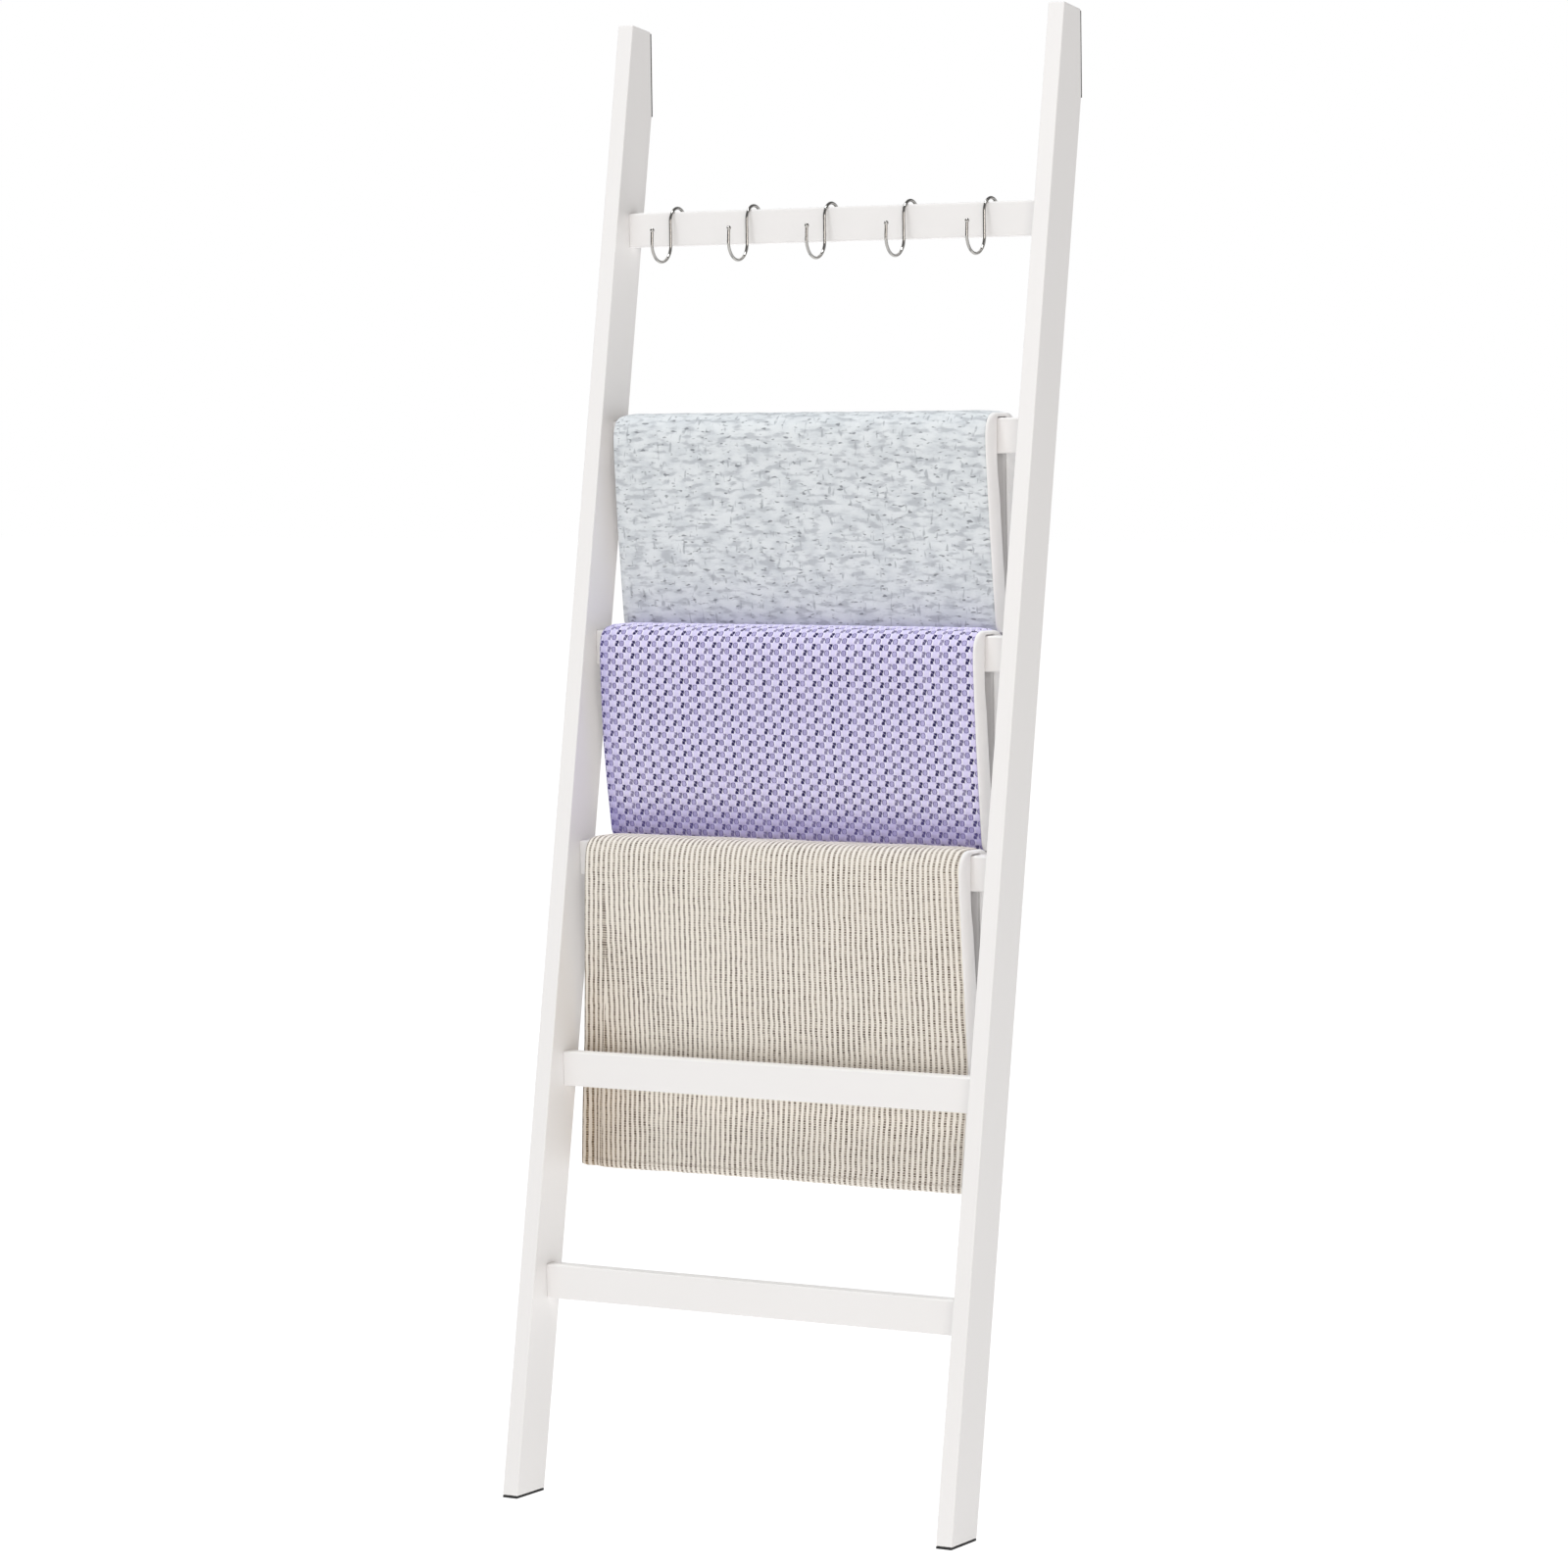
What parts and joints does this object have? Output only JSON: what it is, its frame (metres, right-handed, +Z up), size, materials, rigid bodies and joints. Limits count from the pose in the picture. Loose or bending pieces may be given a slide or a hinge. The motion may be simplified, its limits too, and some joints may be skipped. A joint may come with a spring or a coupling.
{
  "type": "blanket ladder with quilts",
  "caption": "White wooden blanket ladder that leans on a wall, with polished S-hooks on its top rung and thick padded quilts draped over the rungs below.",
  "frame": {"origin": "on the floor, under the middle of the whole ladder", "axes": "+X to the right along the rungs, +Y back to the wall, +Z up"},
  "size_m": [0.58, 0.3256, 1.653],
  "materials": {
    "white_paint": "satin white paint",
    "beech_dowel": "bare",
    "black_rubber": "matt",
    "polished_steel": "polished",
    "grey_melange": "soft brushed melange knit",
    "lavender_waffle": "puffed waffle crochet",
    "beige_open_weave": "open corded weave",
    "white_cotton": "smooth plain weave",
    "wadding": "loose fibre"
  },
  "bodies": {
    "ladder": {"rail_left": "white_paint", "rail_right": "white_paint", "rung_1": "white_paint", "rung_2": "white_paint", "rung_3": "white_paint", "rung_4": "white_paint", "rung_5": "white_paint", "rung_6": "white_paint", "foot_pad_left": "black_rubber", "foot_pad_right": "black_rubber", "wall_pad_left": "black_rubber", "wall_pad_right": "black_rubber", "dowel_1_left_lower": "beech_dowel", "dowel_1_left_upper": "beech_dowel", "dowel_1_right_lower": "beech_dowel", "dowel_1_right_upper": "beech_dowel", "dowel_2_left_lower": "beech_dowel", "dowel_2_left_upper": "beech_dowel", "dowel_2_right_lower": "beech_dowel", "dowel_2_right_upper": "beech_dowel", "dowel_3_left_lower": "beech_dowel", "dowel_3_left_upper": "beech_dowel", "dowel_3_right_lower": "beech_dowel", "dowel_3_right_upper": "beech_dowel", "dowel_4_left_lower": "beech_dowel", "dowel_4_left_upper": "beech_dowel", "dowel_4_right_lower": "beech_dowel", "dowel_4_right_upper": "beech_dowel", "dowel_5_left_lower": "beech_dowel", "dowel_5_left_upper": "beech_dowel", "dowel_5_right_lower": "beech_dowel", "dowel_5_right_upper": "beech_dowel", "dowel_6_left_lower": "beech_dowel", "dowel_6_left_upper": "beech_dowel", "dowel_6_right_lower": "beech_dowel", "dowel_6_right_upper": "beech_dowel"},
    "hook_1": {"hook_1": "polished_steel"},
    "hook_2": {"hook_2": "polished_steel"},
    "hook_3": {"hook_3": "polished_steel"},
    "hook_4": {"hook_4": "polished_steel"},
    "hook_5": {"hook_5": "polished_steel"},
    "upper_quilt": {"upper_quilt_backing": "white_cotton", "upper_quilt_binding_left": "white_cotton", "upper_quilt_binding_right": "white_cotton", "upper_quilt_face": "grey_melange", "upper_quilt_wadding": "wadding"},
    "middle_quilt": {"middle_quilt_backing": "white_cotton", "middle_quilt_binding_left": "white_cotton", "middle_quilt_binding_right": "white_cotton", "middle_quilt_face": "lavender_waffle", "middle_quilt_wadding": "wadding"},
    "lower_quilt": {"lower_quilt_backing": "white_cotton", "lower_quilt_binding_left": "white_cotton", "lower_quilt_binding_right": "white_cotton", "lower_quilt_face": "beige_open_weave", "lower_quilt_wadding": "wadding"}
  },
  "joints": [
    {"name": "hook_1_swing", "type": "hinge", "parent": "ladder", "child": "hook_1", "pos_m": [-0.21, 0.11853, 1.42719], "axis": [-1, 0, 0], "range_deg": [0, 28]},
    {"name": "hook_2_swing", "type": "hinge", "parent": "ladder", "child": "hook_2", "pos_m": [-0.1078, 0.11853, 1.42719], "axis": [-1, 0, 0], "range_deg": [0, 28]},
    {"name": "hook_3_swing", "type": "hinge", "parent": "ladder", "child": "hook_3", "pos_m": [-0.0056, 0.11853, 1.42719], "axis": [-1, 0, 0], "range_deg": [0, 28]},
    {"name": "hook_4_swing", "type": "hinge", "parent": "ladder", "child": "hook_4", "pos_m": [0.0966, 0.11853, 1.42719], "axis": [-1, 0, 0], "range_deg": [0, 28]},
    {"name": "hook_5_swing", "type": "hinge", "parent": "ladder", "child": "hook_5", "pos_m": [0.1988, 0.11853, 1.42719], "axis": [-1, 0, 0], "range_deg": [0, 28]},
    {"name": "upper_quilt_slide", "type": "slide", "parent": "ladder", "child": "upper_quilt", "axis": [1, 0, 0], "range_m": [-0.015, 0.034]},
    {"name": "middle_quilt_slide", "type": "slide", "parent": "ladder", "child": "middle_quilt", "axis": [1, 0, 0], "range_m": [-0.017, 0.029]},
    {"name": "lower_quilt_slide", "type": "slide", "parent": "ladder", "child": "lower_quilt", "axis": [1, 0, 0], "range_m": [-0.006, 0.027]}
  ]
}
